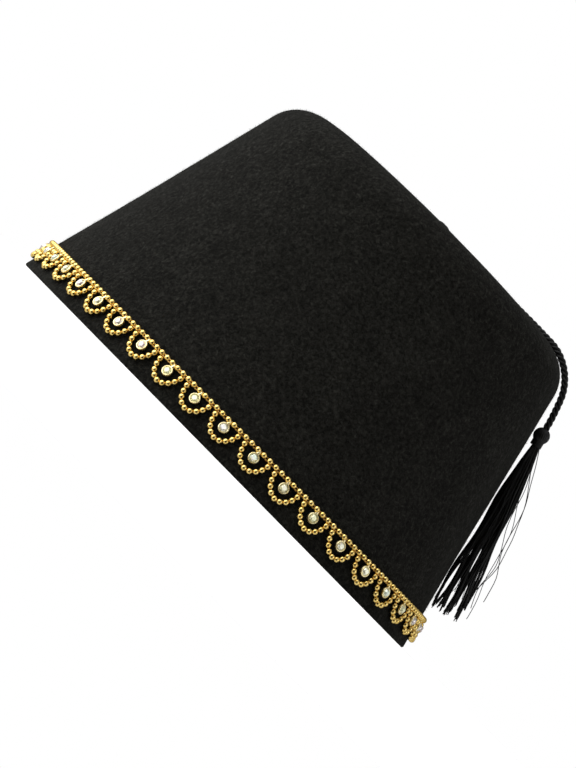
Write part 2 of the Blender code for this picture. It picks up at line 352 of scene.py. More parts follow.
def bump(tree, shader, height, strength, distance):
    made = node(tree, "ShaderNodeBump", {"Height": height, "Strength": strength, "Distance": distance})
    feed(tree, shader, {"Normal": made})


def felt_finish():
    """Pressed black wool felt: matted fibres over soft cloudy patches."""
    made, tree, shader, place = finish_tree("pressed black felt", {
        "Specular IOR Level": 0.07,
        "Sheen Weight": 0.02,
        "Sheen Roughness": 0.5,
        "Sheen Tint": (0.62, 0.62, 0.58, 1.0),
    })
    strokes = 0.0
    for turn in ((0.3, 0.2, 0.5), (0.9, 1.1, 2.4), (2.0, 0.6, 1.4), (1.3, 2.1, 0.1)):
        combing = {"Vector": place, "Rotation": turn, "Scale": (1.0, 5.0, 1.6)}
        combed = node(tree, "ShaderNodeMapping", combing, vector_type="TEXTURE")
        strokes = maths(tree, "MAXIMUM", strokes, grain(tree, combed, 2300.0, 2.0, 0.55, 0.8))
    matting = grain(tree, place, 800.0, 4.0, 0.65, 0.6)
    clouds = grain(tree, place, 95.0, 3.0, 0.5)
    tone = blend_values(tree, blend_values(tree, matting, clouds, 0.15), strokes, 0.30)
    colours = ramp(tree, tone, (
        (0.42, (0.0016, 0.0016, 0.0013)),
        (0.52, (0.0058, 0.0058, 0.0047)),
        (0.60, (0.0107, 0.0105, 0.0087)),
        (0.69, (0.0210, 0.0206, 0.0170)),
    ))
    feed(tree, shader, {"Base Color": colours, "Roughness": remap(tree, tone, (0.50, 0.66), (1.0, 0.70))})
    bump(tree, shader, blend_values(tree, matting, strokes, 0.5), 1.0, 0.0006)
    return made


def fuzz_finish():
    """Loose fibres that stand off the felt and catch the light."""
    made, tree, shader, place = finish_tree("loose felt fibres", {
        "Roughness": 0.85,
        "Specular IOR Level": 0.12,
    })
    tone = grain(tree, place, 1500.0, 2.0)
    colours = ramp(tree, tone, ((0.42, (0.002, 0.002, 0.0017)), (0.60, (0.025, 0.0247, 0.0215))))
    feed(tree, shader, {"Base Color": colours})
    return made


def gold_finish(name, deep, pale, dullness):
    """Metal plating, deeper and duller in patches."""
    made, tree, shader, place = finish_tree(name, {"Metallic": 1.0, "Specular Tint": (1.0, 0.80, 0.45, 1.0)})
    patches = grain(tree, place, 420.0, 3.0)
    scuffs = grain(tree, place, 2400.0, 4.0, 0.65)
    colours = ramp(tree, patches, ((0.35, deep), (0.65, pale)))
    gloss = remap(tree, scuffs, (0.3, 0.7), (dullness, dullness * 2))
    feed(tree, shader, {"Base Color": colours, "Roughness": gloss})
    bump(tree, shader, scuffs, 0.08, 0.0001)
    return made


def stone_finish():
    """Foil-backed clear stones, each with a tint of its own in a pale coat, their facets painted bright or dark as
    painted glints and shade.
    """
    made, tree, shader, place = finish_tree("clear cut stone", {
        "Roughness": 0.14,
        "Coat Weight": 0.6,
        "Coat Roughness": 0.03,
    })
    tint = node(tree, "ShaderNodeAttribute", attribute_name="tint").outputs["Fac"]
    flash = grain(tree, place, 900.0, 2.0)
    colours = ramp(tree, blend_values(tree, tint, flash, 0.35), (
        (0.20, (0.93, 0.93, 0.95)),
        (0.38, (0.90, 0.92, 0.56)),
        (0.52, (0.95, 0.93, 0.86)),
        (0.66, (0.92, 0.78, 0.84)),
        (0.80, (0.80, 0.92, 0.78)),
    ))
    # Painted glint and shade: each facet's value mixes its colour towards a dark olive grey, and the brightest table
    # is also the least metallic.
    painted_facet_glint = node(tree, "ShaderNodeAttribute", attribute_name="painted_facet_glint").outputs["Fac"]
    shades = {"Factor": painted_facet_glint, "A": (0.28, 0.26, 0.16, 1.0), "B": colours}
    depth = node(tree, "ShaderNodeMix", shades, data_type="RGBA").outputs[2]
    feed(tree, shader, {"Base Color": depth, "Metallic": remap(tree, painted_facet_glint, (0.5, 1.0), (0.8, 0.05))})
    return made


def cord_finish():
    """Black rayon thread: a low sheen over fine spun filaments."""
    made, tree, shader, place = finish_tree("black rayon thread", {
        "Roughness": 0.45,
        "Specular IOR Level": 0.25,
        "Sheen Weight": 0.03,
        "Sheen Roughness": 0.3,
    })
    way = node(tree, "ShaderNodeAttribute", attribute_name="way").outputs["Fac"]
    around = node(tree, "ShaderNodeAttribute", attribute_name="around").outputs["Vector"]
    along = node(tree, "ShaderNodeCombineXYZ", {"Z": maths(tree, "MULTIPLY", way, 0.05)})
    filaments = grain(tree, vector_maths(tree, "ADD", around, along), 9000.0, 2.0, 0.5)
    lustre = blend_values(tree, grain(tree, place, 1400.0, 4.0, 0.6, 0.5), filaments, 0.6)
    colours = ramp(tree, lustre, ((0.38, (0.0012, 0.0012, 0.0013)), (0.66, (0.0075, 0.0075, 0.0077))))
    feed(tree, shader, {"Base Color": colours})
    bump(tree, shader, lustre, 0.6, 0.00012)
    return made


def floor_finish():
    """Plain pale studio floor with the faintest tooth, lit a little from below so that it stays white."""
    made, tree, shader, place = finish_tree("pale studio floor", {
        "Roughness": 0.9,
        "Specular IOR Level": 0.1,
        "Emission Color": (1.0, 1.0, 1.0, 1.0),
        "Emission Strength": 0.10,
    })
    tooth = grain(tree, place, 60.0, 3.0)
    colours = ramp(tree, tooth, ((0.3, (0.955, 0.955, 0.955)), (0.7, (0.975, 0.975, 0.975))))
    feed(tree, shader, {"Base Color": colours})
    return made


# Shape of the felt

def oval_radius(width, length, azimuth):
    return 1 / math.hypot(math.cos(azimuth) / (width / 2), math.sin(azimuth) / (length / 2))


def wall_line(azimuth, inset, start=0.0):
    """(radius, height) pairs up one face of the felt and in over the top to its middle."""
    foot = oval_radius(MOUTH_WIDTH, MOUTH_LENGTH, azimuth)
    top = oval_radius(TOP_WIDTH, TOP_LENGTH, azimuth)
    lean = math.atan2(foot - top, CROWN_HEIGHT)
    bend = SHOULDER_RADIUS - inset
    bend_height = CROWN_HEIGHT - SHOULDER_RADIUS
    foot -= inset / math.cos(lean)
    middle = foot - bend_height * math.tan(lean) - bend / math.cos(lean)
    side_top = bend_height + bend * math.sin(lean)
    line = []
    for row in range(SIDE_ROWS):
        height = start + (side_top - start) * row / SIDE_ROWS
        line.append((foot - height * math.tan(lean), height))
    for row in range(SHOULDER_ROWS):
        angle = lean + (math.pi / 2 - lean) * row / SHOULDER_ROWS
        line.append((middle + bend * math.cos(angle), bend_height + bend * math.sin(angle)))
    for row in range(TOP_ROWS + 1):
        line.append((middle * (1 - row / TOP_ROWS), CROWN_HEIGHT - inset))
    return line


def edge_line(inner, outer):
    """The cut edge's rounded corners, from the inner face to the outer."""
    line = []
    inward = (outer[0][0] - inner[0][0]) / 2
    for face, side in ((inner, 1), (outer, -1)):
        high = np.array(face[0])
        corner = np.array((high[0], 0.0))
        low = corner + np.array((side * min(EDGE_ROUND, inward), 0.0))
        for step in range(1, EDGE_STEPS + 1):
            share = step / EDGE_STEPS
            if side < 0:
                share = 1 - (step - 1) / EDGE_STEPS
            line.append(tuple((1 - share) ** 2 * high + 2 * share * (1 - share) * corner + share ** 2 * low))
    return line


def side_point(azimuth, height):
    """Point on the straight part of the outer side."""
    foot = oval_radius(MOUTH_WIDTH, MOUTH_LENGTH, azimuth)
    top = oval_radius(TOP_WIDTH, TOP_LENGTH, azimuth)
    radius = foot + (top - foot) * height / CROWN_HEIGHT
    return Vector(polar(radius, azimuth, height))


def side_axes(azimuth, height):
    """Unit vectors along the mouth, up the slope and out of the felt, at a point on the side."""
    nudge = 0.001
    along = (side_point(azimuth + nudge, height) - side_point(azimuth - nudge, height)).normalized()
    up = (side_point(azimuth, height + nudge) - side_point(azimuth, height - nudge)).normalized()
    return along, up, along.cross(up).normalized()


@cache
def felt_ways():
    """Ways from the middle of the top down the tassel's side, with the radius and height at each."""
    radii, heights = zip(*reversed(wall_line(TASSEL_AZIMUTH, 0.0)), strict=True)
    ways = np.concatenate(([0.0], np.cumsum(np.hypot(np.diff(radii), np.diff(heights)))))
    return ways, radii, heights


def felt_place(way, aside, lift):
    """Point over the felt, a way out from the middle of the top down the tassel's side."""
    ways, radii, heights = felt_ways()
    nudge = 0.0005
    around = (way - nudge, way, way + nudge)
    before, radius, after = np.interp(around, ways, radii)
    above, height, below = np.interp(around, ways, heights)
    run = math.hypot(after - before, below - above)
    radius += lift * (above - below) / run
    height += lift * (after - before) / run
    outward = Vector((math.cos(TASSEL_AZIMUTH), math.sin(TASSEL_AZIMUTH), 0.0))
    sideways = Vector((-outward.y, outward.x, 0.0))
    return outward * radius + sideways * aside + Vector((0.0, 0.0, height))


@cache
def head_way():
    """Way to the top of the tassel's head."""
    up = side_axes(TASSEL_AZIMUTH, HEADER_HEIGHT)[1]
    header_way = felt_ways()[0][-1] - HEADER_HEIGHT / up.z - HEADER_WIDTH / 2
    return header_way - TIP_CLEARANCE - TASSEL_LENGTH


def felt_dip(point):
    """How far the felt dips inwards at a point, nothing at the trim and the mouth."""
    soft = noise.noise(Vector(point) * 26.0) * 0.65 + noise.noise(Vector(point) * 70.0) * 0.35
    clear_of_trim = min(1.0, max(0.0, (point[2] - FUZZ_START) / 0.02))
    return FELT_WAVE * (0.5 + 0.5 * soft) * clear_of_trim


def felt_section(azimuth):
    """(radius, height) pairs from the inner top's middle, round the cut edge, to the outer top's."""
    inner, outer = [wall_line(azimuth, inset, EDGE_ROUND) for inset in (FELT_THICKNESS, 0.0)]
    return inner[::-1] + edge_line(inner, outer) + outer


def make_felt(finish):
    """The closed felt shell, marked where its fuzz grows."""
    azimuths = [math.tau * side / FELT_SIDES for side in range(FELT_SIDES)]
    sections = [felt_section(azimuth) for azimuth in azimuths]
    row_count = len(sections[0])
    outer_start = row_count - (SIDE_ROWS + SHOULDER_ROWS + TOP_ROWS + 1)
    build = bmesh.new()
    rows = []
    for row in range(row_count):
        if row in (0, row_count - 1):
            rows.append([build.verts.new((0.0, 0.0, sections[0][row][1]))])
            continue
        ring = []
        for azimuth, section in zip(azimuths, sections, strict=True):
            radius, height = section[row]
            ring.append(build.verts.new(polar(radius, azimuth, height)))
        rows.append(ring)
    join_rings(build, rows, FELT_SIDES)
    bmesh.ops.recalc_face_normals(build, faces=build.faces)
    build.normal_update()
    fuzzy = []
    for number, ring in enumerate(rows):
        outside = number >= outer_start
        for vert in ring:
            fuzzy.append(float(outside and vert.co.z > FUZZ_START))
            facing = vert.normal if outside else -vert.normal
            vert.co -= facing * felt_dip(vert.co)
    mesh = bpy.data.meshes.new("felt_shell")
    build.to_mesh(mesh)
    build.free()
    mesh.shade_smooth()
    mesh.attributes.new("fuzzy", "FLOAT", "POINT").data.foreach_set("value", np.array(fuzzy, np.float32))
    return mesh_object("felt_shell", mesh, finish)


def fibre_shape():
    """One loose fibre: a narrow bent ribbon that lies back and ends in a point."""
    half = FIBRE_WIDTH / 2
    points = (
        (0.0, -half, 0.0),
        (0.0, half, 0.0),
        (FIBRE_LENGTH * 0.5, half, FIBRE_LENGTH * 0.09),
        (FIBRE_LENGTH * 0.5, -half, FIBRE_LENGTH * 0.09),
        (FIBRE_LENGTH, 0.0, FIBRE_LENGTH * 0.26),
    )
    mesh = bpy.data.meshes.new("fibre_shape")
    mesh.from_pydata(points, [], [(0, 3, 2, 1), (3, 4, 2)])
    return mesh_object("fibre_shape", mesh)


def fuzz_tree(finish):
    """Fibres strewn over the felt, each turned, tipped and sized by chance."""
    tree, sizes = geometry_tree("felt fuzz", (("Fibre", "Object"), ("Fibres per area", "Float"), ("Seed", "Int")))
    seed = sizes["Seed"]
    density = maths(tree, "MULTIPLY", named(tree, "fuzzy", "FLOAT"), sizes["Fibres per area"])
    strewing = {"Mesh": sizes["Geometry"], "Density": density, "Seed": seed}
    strewn = node(tree, "GeometryNodeDistributePointsOnFaces", strewing, distribute_method="RANDOM")
    tip = chance(tree, (-0.5, -0.60, 0.0), (0.5, 0.12, math.tau), seed)
    spin = node(tree, "FunctionNodeEulerToRotation", {0: tip})
    turning = {"Rotation": strewn.outputs["Rotation"], "Rotate By": spin}
    turned = node(tree, "FunctionNodeRotateRotation", turning, rotation_space="LOCAL")
    size = chance(tree, 0.45, 1.2, seed)
    shape = node(tree, "GeometryNodeObjectInfo", {"Object": sizes["Fibre"]}, transform_space="ORIGINAL")
    fibres = node(tree, "GeometryNodeInstanceOnPoints", {
        "Points": strewn, "Instance": shape.outputs["Geometry"], "Rotation": turned, "Scale": size,
    })
    end_tree(tree, fibres, finish)
    return tree


# Trim

@cache
def header_shares():
    """Shares of the way round the header string, with the azimuth at each."""
    azimuths = np.linspace(0.0, math.tau, 721)
    places = np.array([side_point(azimuth, HEADER_HEIGHT) for azimuth in azimuths])
    lengths = np.concatenate(([0.0], np.cumsum(np.linalg.norm(np.diff(places, axis=0), axis=1))))
    return lengths / lengths[-1], azimuths


def trim_place(share, drop, lift):
    """Point over the side: a share of the way round, a drop below the header string, a lift off the felt."""
    azimuth = float(np.interp(share % 1.0, *header_shares()))
    _, up, out = side_axes(azimuth, HEADER_HEIGHT)
    return side_point(azimuth, HEADER_HEIGHT - drop * up.z) + out * lift


def trim_axes(share):
    return side_axes(float(np.interp(share % 1.0, *header_shares())), HEADER_HEIGHT)


def ring_path(drop, lift, steps, shift=0.0):
    """Closed path round the hat beside the header string."""
    return [trim_place((step + shift) / steps, drop, lift) for step in range(steps)]


def loop_path(share):
    """One loop from its first bead to its last: half an ellipse, straight down at its ends."""
    half_span = LOOP_SPACINGS / 2 / (SCALLOPS * HEADER_BEADS)
    path = []
    for step in range(LOOP_STEPS + 1):
        angle = math.pi * step / LOOP_STEPS
        place = share - half_span * math.cos(angle)
        path.append(trim_place(place, LOOP_DEPTH * math.sin(angle), TRIM_GAP + HEADER_WIDTH / 2))
    return path


def bead_tree(finish):
    """Round beads strung evenly along each guide, poles along the string."""
    tree, sizes = geometry_tree("strung beads", (
        ("Beads on each string", "Int"), ("Skipped at each end", "Float"), ("Bead width", "Float"),
        ("Bead sides", "Int"), ("Bead rows", "Int"), ("Seed", "Int"),
    ))
    string = node(tree, "GeometryNodeMeshToCurve", {"Mesh": sizes["Geometry"]})
    skipped = sizes["Skipped at each end"]
    ends = {"Curve": string, "Start": skipped, "End": maths(tree, "SUBTRACT", 1.0, skipped)}
    used = node(tree, "GeometryNodeTrimCurve", ends, mode="FACTOR")
    counted = {"Curve": used, "Count": sizes["Beads on each string"]}
    places = node(tree, "GeometryNodeCurveToPoints", counted, mode="COUNT")
    radius = maths(tree, "MULTIPLY", sizes["Bead width"], 0.5)
    bead = node(tree, "GeometryNodeMeshUVSphere", {
        "Segments": sizes["Bead sides"], "Rings": sizes["Bead rows"], "Radius": radius,
    })
    beads = node(tree, "GeometryNodeInstanceOnPoints", {
        "Points": places.outputs["Points"], "Instance": bead, "Rotation": places.outputs["Rotation"],
        "Scale": chance(tree, 0.965, 1.02, sizes["Seed"]),
    })
    end_tree(tree, beads, finish)
    return tree


def thread_tree(name, finish):
    """Round wire, ply or thread along each guide."""
    tree, sizes = geometry_tree(name, (("Thread width", "Float"), ("Thread sides", "Int")))
    line = node(tree, "GeometryNodeMeshToCurve", {"Mesh": sizes["Geometry"]})
    radius = maths(tree, "MULTIPLY", sizes["Thread width"], 0.5)
    section = node(tree, "GeometryNodeCurvePrimitiveCircle", {"Resolution": sizes["Thread sides"], "Radius": radius})
    way = node(tree, "GeometryNodeSplineParameter").outputs["Length"]
    around = node(tree, "GeometryNodeInputPosition")
    line = store(tree, line, "way", way)
    section = store(tree, section, "around", around, "FLOAT_VECTOR")
    thread = node(tree, "GeometryNodeCurveToMesh", {"Curve": line, "Profile Curve": section, "Fill Caps": True})
    end_tree(tree, thread, finish)
    return tree


def setting_tree(name, finish, smooth):
    """One shape set at each point of the guide, square to the felt, with a tint by chance."""
    tree, sizes = geometry_tree(name, (("Shape", "Object"), ("Seed", "Int")))
    axes = {"Primary Axis": named(tree, "out"), "Secondary Axis": named(tree, "along")}
    turn = node(tree, "FunctionNodeAxesToRotation", axes, primary_axis="Z", secondary_axis="X")
    tinted = store(tree, sizes["Geometry"], "tint", chance(tree, 0.0, 1.0, sizes["Seed"]))
    shape = node(tree, "GeometryNodeObjectInfo", {"Object": sizes["Shape"]}, transform_space="ORIGINAL")
    placed = node(tree, "GeometryNodeInstanceOnPoints", {
        "Points": tinted, "Instance": shape.outputs["Geometry"], "Rotation": turn,
    })
    end_tree(tree, placed, finish, smooth)
    return tree


def turned_rows(build, rows, sides):
    """Rings of vertices at (radius, height) pairs, joined; a single vertex where the radius is nothing."""
    angles = [math.tau * side / sides for side in range(sides)]
    rings = []
    for radius, height in rows:
        if radius == 0:
            rings.append([build.verts.new((0.0, 0.0, height))])
        else:
            rings.append([build.verts.new(polar(radius, angle, height)) for angle in angles])
    join_rings(build, rings, sides)
    return rings


def cup_shape():
    """A turned cup with a rolled lip, on the tapered stub that joins it to the header string."""
    wide, lip = CUP_WIDTH / 2, 0.00022
    inner = STONE_WIDTH / 2
    rows = (
        (0.0, 0.0), (wide * 0.8, 0.0), (wide * 0.95, 0.00025), (wide, 0.0008), (wide, CUP_HEIGHT - lip),
        (wide - lip * 0.4, CUP_HEIGHT - lip * 0.2), (wide - lip * 1.2, CUP_HEIGHT + lip * 0.2),
        (inner + lip * 0.3, CUP_HEIGHT - lip * 0.3), (inner, CUP_HEIGHT - lip * 2), (0.0, CUP_HEIGHT - lip * 3),
    )
    build = bmesh.new()
    turned_rows(build, rows, CUP_SIDES)
    stub = turned_rows(build, (
        (0.0, STONE_DROP + HEADER_WIDTH * 0.15), (STUB_WIDTH / 2, STONE_DROP), (STUB_WIDTH / 2, STONE_DROP - 0.0007),
        (STUB_FOOT / 2, wide - 0.0002), (0.0, wide - 0.0005),
    ), 10)
    for ring in stub:
        for vert in ring:
            across, deep, up = vert.co
            vert.co = (across, up, deep * 0.9 + CUP_HEIGHT * 0.52)
    return shape_object("cup_shape", build)


def stone_shape():
    """A brilliant's crown over a plain back: table, star, main and girdle facets."""
    build = bmesh.new()
    girdle, table = STONE_WIDTH / 2 - 0.00003, TABLE_WIDTH / 2
    base = CUP_HEIGHT - 0.0003
    top = CUP_HEIGHT + STONE_RISE

    def ring(radius, height, turn, count=STONE_SIDES):
        angles = [math.tau * (place + turn) / count for place in range(count)]
        return [build.verts.new(polar(radius, angle, height)) for angle in angles]

    flat = ring(table, top, 0.5)
    star = ring((girdle + table * 1.15) / 2, top - (top - base) * 0.38, 0.0)
    rim = ring(girdle, base, 0.25, STONE_SIDES * 2)
    back = ring(girdle * 0.9, base - 0.00025, 0.25, STONE_SIDES * 2)
    build.faces.new(flat)
    for place in range(STONE_SIDES):
        after = (place + 1) % STONE_SIDES
        left, right, nearer = [rim[2 * place + aside] for aside in (-1, 0, 1)]
        build.faces.new((flat[place - 1], star[place], flat[place]))
        build.faces.new((star[place], left, right))
        build.faces.new((flat[place], star[place], right))
        build.faces.new((flat[place], right, nearer))
        build.faces.new((flat[place], nearer, star[after]))
    for place in range(2 * STONE_SIDES):
        after = (place + 1) % (2 * STONE_SIDES)
        build.faces.new((rim[place], back[place], back[after], rim[after]))
    build.faces.new(back[::-1])
    stone = shape_object("stone_shape", build)
    facets = stone.data.attributes.new("painted_facet_glint", "FLOAT", "FACE")
    # Painted glint and shade: the table facet is painted brightest, and each other facet a share darker picked by its
    # place, standing in for the stone's sparkle.
    painted_glint = [
        1.0 if face.normal.z > 0.97 else 0.45 + 0.5 * ((7 * place) % 10) / 10
        for place, face in enumerate(stone.data.polygons)
    ]
    facets.data.foreach_set("value", np.array(painted_glint, np.float32))
    return stone


def shape_object(name, build, finish=None):
    """Object from the built mesh, welded and facing outwards, and smooth if it has a finish."""
    bmesh.ops.remove_doubles(build, verts=build.verts, dist=0.0000005)
    bmesh.ops.recalc_face_normals(build, faces=build.faces)
    mesh = bpy.data.meshes.new(name)
    build.to_mesh(mesh)
    build.free()
    if finish:
        mesh.shade_smooth()
    return mesh_object(name, mesh, finish)


def make_trim():
    """Beads, wires, rails with their rungs, cups and stones."""
    gold = gold_finish("yellow gold plating", (0.78, 0.54, 0.155), (0.90, 0.68, 0.25), 0.16)
    pale_gold = gold_finish("pale gold plating", (0.90, 0.77, 0.40), (0.96, 0.87, 0.56), 0.18)
    # Painted shade: the wires, rails and rungs between and under the beads take a gold deepened to brown, standing in
    # for the shade they sit in.
    wire_gold_in_painted_shade = gold_finish("gilt wire deepened as painted shade", (0.40, 0.24, 0.07), (0.58, 0.38, 0.14), 0.20)
    stone = stone_finish()
    lift = TRIM_GAP + HEADER_WIDTH / 2
    header_count = SCALLOPS * HEADER_BEADS
    shares = [scallop / SCALLOPS for scallop in range(SCALLOPS)]
    loops = [loop_path(share) for share in shares]
    header = [ring_path(0.0, lift, header_count)]
    between = [ring_path(RAIL_DROPS[1], lift, header_count, 0.5)]
    strung, tied = bead_tree(gold), bead_tree(wire_gold_in_painted_shade)
    for name, paths, tree, finish, count, inset, width, sides, rows, seed in (
        ("header_beads", header, strung, gold, header_count, 0.0, HEADER_BEAD, BEAD_SIDES, BEAD_ROWS, 3),
        ("loop_beads", loops, strung, gold, LOOP_BEADS, LOOP_INSET, LOOP_BEAD, BEAD_SIDES, BEAD_ROWS, 5),
        ("rail_rungs", between, tied, wire_gold_in_painted_shade, header_count, 0.0, RUNG_WIDTH, RUNG_SIDES, RUNG_ROWS, 7),
    ):
        guide = guide_object(f"{name}_guide", paths, closed=paths is not loops)
        piece = grow(name, guide, tree, {
            "Beads on each string": count, "Skipped at each end": inset, "Bead width": width,
            "Bead sides": sides, "Bead rows": rows, "Seed": seed,
        }, finish)
        dress(piece, "gold", "bead_trim")
    wire = thread_tree("wires", wire_gold_in_painted_shade)
    rails = [ring_path(drop, lift, RAIL_STEPS) for drop in RAIL_DROPS]
    for piece in (
        grow_threads("loop_wires", loops, wire, WIRE_WIDTH, 8, wire_gold_in_painted_shade),
        grow_threads("header_rails", rails, wire, RAIL_WIDTH, 10, wire_gold_in_painted_shade, closed=True),
    ):
        dress(piece, "gold", "bead_trim")
    axes = [trim_axes(share) for share in shares]
    points = [[trim_place(share, STONE_DROP, TRIM_GAP)] for share in shares]
    facing = {"along": [row[0] for row in axes], "out": [row[2] for row in axes]}
    for name, shape, tree, finish, slot, seed in (
        ("stone_cups", cup_shape(), setting_tree("set cups", pale_gold, True), pale_gold, "gold", 1),
        ("cut_stones", stone_shape(), setting_tree("set stones", stone, False), stone, "stone", 2),
    ):
        guide = guide_object(f"{name}_guide", points, vectors=facing)
        piece = grow(name, guide, tree, {"Shape": shape, "Seed": seed}, finish)
        bpy.data.objects.remove(shape, do_unlink=True)
        dress(piece, slot, "bead_trim")


# Knot, cord and tassel

def smooth_value(places, values, place):
    """Value at a place on the smooth curve through the given values, level at both ends."""
    slopes = [0.0] * len(places)
    for row in range(1, len(places) - 1):
        slopes[row] = (values[row + 1] - values[row - 1]) / (places[row + 1] - places[row - 1])
    row = min(int(np.searchsorted(places, place, side="right")) - 1, len(places) - 2)
    run = places[row + 1] - places[row]
    part = (place - places[row]) / run
    left = 1 - part
    from_start = left ** 2 * (values[row] * (1 + 2 * part) + slopes[row] * run * part)
    from_end = part ** 2 * (values[row + 1] * (1 + 2 * left) - slopes[row + 1] * run * left)
    return from_start + from_end


def cord_place(share):
    """Point on the cord's middle, a share of its length from the knot to the tassel's head."""
    shares, wander, lifts = zip(*CORD_ROUTE, strict=True)
    start = KNOT_WIDTH / 2 + SEAT_GAP
    length = head_way() - SEAT_GAP - start
    rise = (TASSEL_HEAD - CORD_WIDTH) / 2 * smooth_value(shares, lifts, min(max(share, 0.0), 1.0))
    aside = length * smooth_value(shares, wander, min(max(share, 0.0), 1.0))
    return felt_place(start + share * length, aside, SEAT_GAP + CORD_WIDTH / 2 + rise)


def along_path(path):
    """The path as an array, and unit vectors sideways to it and square to that, at each of its points."""
    path = np.array([tuple(point) for point in path])
    forward = np.gradient(path, axis=0)
    forward /= np.linalg.norm(forward, axis=1)[:, None]
    side = np.cross(forward, (math.cos(TASSEL_AZIMUTH), math.sin(TASSEL_AZIMUTH), 1.0))
    side /= np.linalg.norm(side, axis=1)[:, None]
    return path, side, np.cross(side, forward)


def make_cord(thread, finish):
    """The cord's three plies, twisted round its middle."""
    shares = np.linspace(-CORD_TUCK, 1 + CORD_TUCK, CORD_STEPS)
    path, side, square = along_path([cord_place(share) for share in shares])
    ways = np.concatenate(([0.0], np.cumsum(np.linalg.norm(np.diff(path, axis=0), axis=1))))
    reach = CORD_WIDTH / 2 - PLY_WIDTH / 2
    plies = []
    for ply in range(CORD_PLIES):
        turn = math.tau * (ways / CORD_PITCH + ply / CORD_PLIES)
        plies.append(path + reach * (side * np.cos(turn)[:, None] + square * np.sin(turn)[:, None]))
    cord = grow_threads("twisted_cord", plies, thread, PLY_WIDTH, 10, finish)
    dress(cord, "cord", "tassel_cord")
    tuple(cord_place(0.0))


def make_knot(thread, finish):
    """A wound knot: swirled threads over a low dome, with a corded ring round its foot."""
    sides, rows, threads, swirl = 192, 24, 16, 1.1
    half = KNOT_WIDTH / 2
    build = bmesh.new()
    outline = []
    for row in range(rows + 1):
        angle = math.pi / 2 * row / rows
        outline.append((half * 0.90 * math.sin(angle), KNOT_HEIGHT * (0.22 + 0.78 * math.cos(angle))))
    outline.append((half * 0.88, 0.0))
    outline.append((0.0, 0.0))
    for ring in turned_rows(build, outline, sides):
        for vert in ring:
            reach = math.hypot(vert.co.x, vert.co.y) / half
            if vert.co.z <= 0:
                continue
            azimuth = math.atan2(vert.co.y, vert.co.x)
            ridge = abs(math.sin(threads / 2 * (azimuth + swirl * reach)))
            depth = 0.00028 * min(1.0, reach * 2.2) * (1 - ridge)
            vert.co -= vert.co.normalized() * depth
            vert.co.z -= 0.0005 * math.exp(-((reach / 0.14) ** 2))
    for vert in build.verts:
        vert.co.z += CROWN_HEIGHT + SEAT_GAP
    dress(shape_object("wound_knot", build, finish), "cord", "top_knot")
    strand, turns, steps = 0.0011, 26, 420
    paths = []
    for ply in range(2):
        path = []
        for step in range(steps + 1):
            azimuth = math.tau * step / steps
            twist = turns * azimuth + math.pi * ply
            radius = half - strand * 0.55 + math.cos(twist) * strand * 0.32
            height = CROWN_HEIGHT + SEAT_GAP + strand * 0.82 + math.sin(twist) * strand * 0.32
            path.append(polar(radius, azimuth, height))
        paths.append(path)
    dress(grow_threads("knot_ring", paths, thread, strand, 8, finish), "cord", "top_knot")


def tassel_place(down, aside, lift):
    """Point of the tassel: down from its head's top, sideways, and out from the felt."""
    return felt_place(head_way() + down, aside, SEAT_GAP + lift)


def make_tassel_head(thread, finish):
    """The tassel's round head of gathered threads, and the thread bound round its neck."""
    middle = tassel_place(TASSEL_HEAD / 2, 0.0, TASSEL_HEAD / 2)
    neck = tassel_place(NECK_DROP, 0.0, TASSEL_HEAD / 2)
    down = (neck - middle).normalized()
    turn = Vector((0.0, 0.0, -1.0)).rotation_difference(down)
    build = bmesh.new()
    half = TASSEL_HEAD / 2
    outline = [(0.0, half)]
    for row in range(1, 18):
        angle = math.pi * row / 18
        outline.append((max(half * math.sin(angle), TASSEL_NECK * 0.42 if row > 9 else 0.0), half * math.cos(angle)))
    outline += [(TASSEL_NECK * 0.45, -half * 1.25), (0.0, -half * 1.3)]
    for ring in turned_rows(build, outline, 96):
        for vert in ring:
            azimuth = math.atan2(vert.co.y, vert.co.x)
            groove = 1 - abs(math.sin(12 * (azimuth + vert.co.z * 60)))
            inward = Vector((vert.co.x, vert.co.y, 0.0))
            vert.co -= inward * 0.08 * groove
            vert.co.rotate(turn)
            vert.co += middle
    dress(shape_object("tassel_head", build, finish), "cord", "tassel")
    across = down.orthogonal().normalized()
    square = down.cross(across)
    turns, steps, strand = 6, 40, 0.00042
    path = []
    for step in range(turns * steps + 1):
        angle = math.tau * step / steps
        along = (step / (turns * steps) - 0.5) * turns * strand * 0.95
        path.append(neck + down * along + (across * math.cos(angle) + square * math.sin(angle)) * (TASSEL_NECK / 2))
    dress(grow_threads("neck_binding", [path], thread, strand, 8, finish), "cord", "tassel")


def strand_guide(aside, lift, length, bulge, lean, wave, phase):
    """One guide from the neck to a tip, waving more towards the tip."""
    start, end = NECK_DROP - 0.0006, length * TASSEL_LENGTH
    path = []
    for step in range(STRAND_STEPS + 1):
        share = step / STRAND_STEPS
        spread = share ** 0.82
        down = start + share * (end - start)
        out = TASSEL_HEAD / 2 + (lift - TASSEL_HEAD / 2) * spread + bulge * math.sin(math.pi * share) ** 1.5
        out += wave * share * math.sin(math.tau * 2.1 * share + phase)
        across = aside * spread + lean * math.sin(math.pi * share) ** 1.5
        across += wave * share * math.cos(math.tau * 1.6 * share + 2.3 * phase)
        path.append(tassel_place(down, across, max(out, 0.0004)))
    return path


def clump_widths():
    """Half the width of a clump of strands at each of its guide's points."""
    return np.interp(np.linspace(0.0, 1.0, STRAND_STEPS + 1), CLUMP_SHARES, CLUMP_HALVES)


